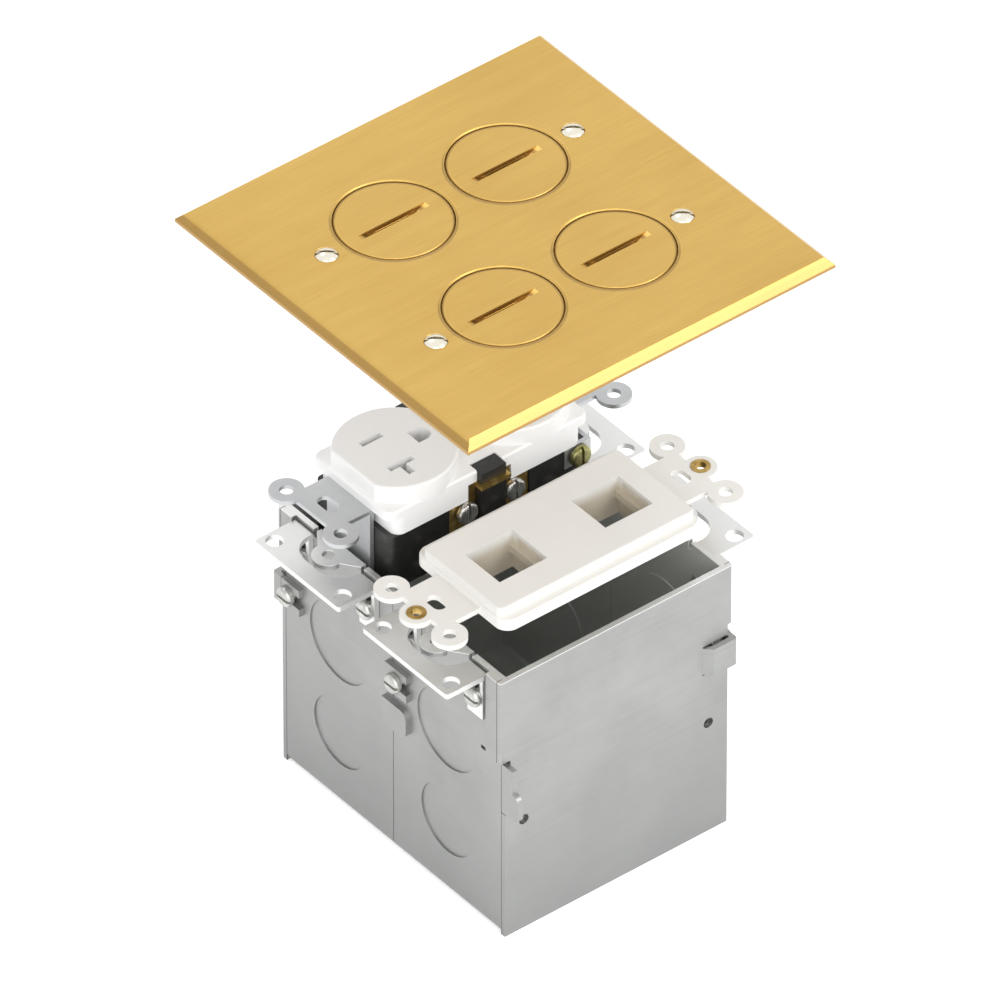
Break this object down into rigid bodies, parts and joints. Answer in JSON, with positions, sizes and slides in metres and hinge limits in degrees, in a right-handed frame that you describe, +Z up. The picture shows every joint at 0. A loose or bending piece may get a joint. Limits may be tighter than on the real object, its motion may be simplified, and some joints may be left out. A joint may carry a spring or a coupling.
{
  "type": "floor socket box",
  "caption": "Floor socket box kit laid out in its layers: gangable steel box with sliding ears, duplex receptacle, low-voltage insert and brass cover with screw plugs.",
  "frame": {"origin": "centre of the steel box's underside", "axes": "+Z up out of the floor, +X across the gangs towards the low-voltage insert, +Y along the devices"},
  "size_m": [0.124, 0.124, 0.1932],
  "materials": {
    "galvanised_steel": "galvanised sheet, fine spangle",
    "zinc_screw": "zinc plated",
    "strap_steel": "galvanised strip",
    "cover_brass": "fine brushed, lacquered",
    "gasket_rubber": "matte black sheet",
    "nickel_screw": "nickel plated, polished",
    "white_nylon": "smooth moulded",
    "black_plastic": "moulded thermoset",
    "contact_brass": "bare strip",
    "brass_screw": "plated",
    "silver_screw": "zinc plated",
    "ground_screw": "green-gold passivated",
    "ivory_plastic": "satin moulded"
  },
  "bodies": {
    "box": {"gang_shell_left": "galvanised_steel", "gang_shell_right": "galvanised_steel", "side_plate_left": "galvanised_steel", "side_plate_right": "galvanised_steel", "gang_screws": "zinc_screw", "ear_screws": "zinc_screw"},
    "cover": {"cover_plate": "cover_brass", "cover_gasket": "gasket_rubber", "cover_screws": "nickel_screw"},
    "receptacle": {"receptacle_strap": "strap_steel", "receptacle_face": "white_nylon", "receptacle_body": "black_plastic", "line_contact": "contact_brass", "neutral_contact": "contact_brass", "ground_contact": "contact_brass", "line_terminal_screws": "brass_screw", "neutral_terminal_screws": "silver_screw", "ground_terminal_screw": "ground_screw"},
    "data_insert": {"data_frame": "ivory_plastic", "data_thread_inserts": "contact_brass"},
    "ear_left_front_body": {"ear_left_front": "galvanised_steel"},
    "ear_left_back_body": {"ear_left_back": "galvanised_steel"},
    "ear_right_front_body": {"ear_right_front": "galvanised_steel"},
    "ear_right_back_body": {"ear_right_back": "galvanised_steel"},
    "seal_left_front_body": {"plug_seal_left_front": "gasket_rubber"},
    "plug_left_front_body": {"screw_plug_left_front": "cover_brass"},
    "seal_left_back_body": {"plug_seal_left_back": "gasket_rubber"},
    "plug_left_back_body": {"screw_plug_left_back": "cover_brass"},
    "seal_right_front_body": {"plug_seal_right_front": "gasket_rubber"},
    "plug_right_front_body": {"screw_plug_right_front": "cover_brass"},
    "seal_right_back_body": {"plug_seal_right_back": "gasket_rubber"},
    "plug_right_back_body": {"screw_plug_right_back": "cover_brass"}
  },
  "joints": [
    {"name": "cover_lift", "type": "slide", "parent": "box", "child": "cover", "axis": [0, 0, 1], "range_m": [-0.0877, 0]},
    {"name": "receptacle_lift", "type": "slide", "parent": "box", "child": "receptacle", "axis": [0, 0, 1], "range_m": [-0.0161, 0]},
    {"name": "insert_lift", "type": "slide", "parent": "box", "child": "data_insert", "axis": [0, 0, 1], "range_m": [-0.0118, 0]},
    {"name": "ear_left_front_slide", "type": "slide", "parent": "box", "child": "ear_left_front_body", "axis": [0, 0, 1], "range_m": [-0.0044, 0.001]},
    {"name": "ear_left_back_slide", "type": "slide", "parent": "box", "child": "ear_left_back_body", "axis": [0, 0, 1], "range_m": [-0.0044, 0.001]},
    {"name": "ear_right_front_slide", "type": "slide", "parent": "box", "child": "ear_right_front_body", "axis": [0, 0, 1], "range_m": [-0.0044, 0.001]},
    {"name": "ear_right_back_slide", "type": "slide", "parent": "box", "child": "ear_right_back_body", "axis": [0, 0, 1], "range_m": [-0.0044, 0.001]},
    {"name": "plug_left_front_lift", "type": "slide", "parent": "cover", "child": "seal_left_front_body", "axis": [0, 0, 1], "range_m": [0, 0.003]},
    {"name": "plug_left_front_turn", "type": "hinge", "parent": "seal_left_front_body", "child": "plug_left_front_body", "pos_m": [-0.02302, -0.01905, 0.1919], "axis": [0, 0, 1], "range_deg": [0, 1080]},
    {"name": "plug_left_back_lift", "type": "slide", "parent": "cover", "child": "seal_left_back_body", "axis": [0, 0, 1], "range_m": [0, 0.003]},
    {"name": "plug_left_back_turn", "type": "hinge", "parent": "seal_left_back_body", "child": "plug_left_back_body", "pos_m": [-0.02302, 0.01905, 0.1919], "axis": [0, 0, 1], "range_deg": [0, 1080]},
    {"name": "plug_right_front_lift", "type": "slide", "parent": "cover", "child": "seal_right_front_body", "axis": [0, 0, 1], "range_m": [0, 0.003]},
    {"name": "plug_right_front_turn", "type": "hinge", "parent": "seal_right_front_body", "child": "plug_right_front_body", "pos_m": [0.02302, -0.01905, 0.1919], "axis": [0, 0, 1], "range_deg": [0, 1080]},
    {"name": "plug_right_back_lift", "type": "slide", "parent": "cover", "child": "seal_right_back_body", "axis": [0, 0, 1], "range_m": [0, 0.003]},
    {"name": "plug_right_back_turn", "type": "hinge", "parent": "seal_right_back_body", "child": "plug_right_back_body", "pos_m": [0.02302, 0.01905, 0.1919], "axis": [0, 0, 1], "range_deg": [0, 1080]}
  ],
  "couplings": [
    {"joint": "receptacle_lift", "follows": "cover_lift", "ratio": 0.18358},
    {"joint": "insert_lift", "follows": "cover_lift", "ratio": 0.13454},
    {"joint": "plug_left_front_turn", "follows": "plug_left_front_lift", "rad_per_m": 6283.2},
    {"joint": "plug_left_back_turn", "follows": "plug_left_back_lift", "rad_per_m": 6283.2},
    {"joint": "plug_right_front_turn", "follows": "plug_right_front_lift", "rad_per_m": 6283.2},
    {"joint": "plug_right_back_turn", "follows": "plug_right_back_lift", "rad_per_m": 6283.2}
  ]
}
